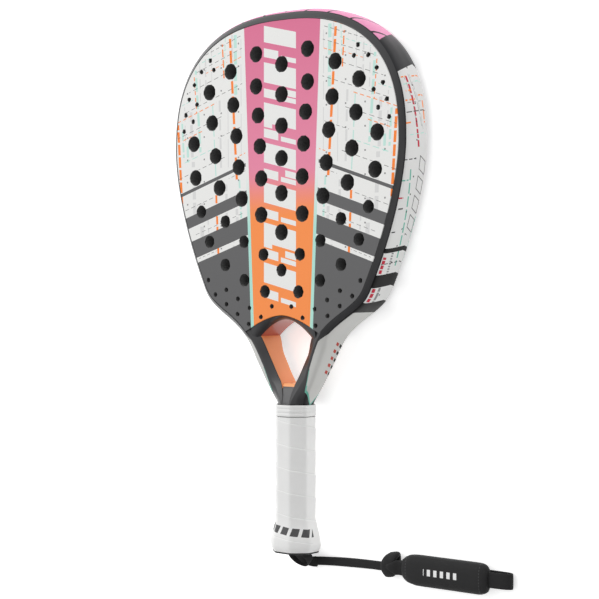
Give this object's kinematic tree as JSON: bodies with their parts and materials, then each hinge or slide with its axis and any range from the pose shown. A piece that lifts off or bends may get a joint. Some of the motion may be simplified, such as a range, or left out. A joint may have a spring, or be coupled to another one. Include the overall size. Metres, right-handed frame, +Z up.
{
  "type": "padel racket",
  "caption": "Teardrop padel racket with a drilled face, a split throat, a wrapped octagonal handle and a padded wrist strap, lying on its rear face.",
  "frame": {"origin": "under the middle of the racket, on the surface that it lies on", "axes": "+Y along the racket towards the head's tip, +Z up out of the front hitting face, +X across it towards the side that the strap lies on"},
  "size_m": [0.327, 0.4724, 0.038],
  "materials": {
    "carbon_frame": "clear-coated carbon composite, glossy",
    "resin_filler": "moulded resin under clear coat",
    "eva_foam": "closed-cell EVA foam",
    "sanded_skin": "carbon laminate under printed lacquer with sand grit",
    "pallet_foam": "rigid polyurethane foam",
    "cushion_grip": "foamed polyurethane strip",
    "overgrip": "white tacky polyurethane wrap",
    "collar_rubber": "white moulded rubber, fine embossed texture",
    "finishing_tape": "adhesive vinyl tape",
    "cap_plastic": "black moulded nylon",
    "steel_pin": "drawn steel rod",
    "strap_webbing": "black woven polyester webbing",
    "pad_neoprene": "black jersey-faced neoprene",
    "pad_foam": "soft foam strip"
  },
  "bodies": {
    "racket": {"frame_tube": "carbon_frame", "throat_bridge": "carbon_frame", "throat_wedge": "resin_filler", "core_foam": "eva_foam", "skin_front": "sanded_skin", "skin_rear": "sanded_skin", "handle_pallet": "pallet_foam", "base_grip": "cushion_grip", "overgrip": "overgrip", "grip_collar": "collar_rubber", "finishing_tape": "finishing_tape", "butt_cap": "cap_plastic", "strap_bar": "steel_pin", "strap_hitch": "strap_webbing"},
    "strap": {"strap_strands": "strap_webbing", "strap_knot": "strap_webbing", "wrist_loop": "strap_webbing"},
    "wrist_pad": {"wrist_pad_cover": "pad_neoprene", "wrist_pad_foam": "pad_foam"}
  },
  "joints": [
    {"name": "strap_swing", "type": "hinge", "parent": "racket", "child": "strap", "pos_m": [0.006, -0.2369, 0.006], "axis": [0, 0, 1], "range_deg": [-195, 25]},
    {"name": "pad_slide", "type": "slide", "parent": "strap", "child": "wrist_pad", "axis": [1, 0, 0], "range_m": [0, 0.008]}
  ]
}
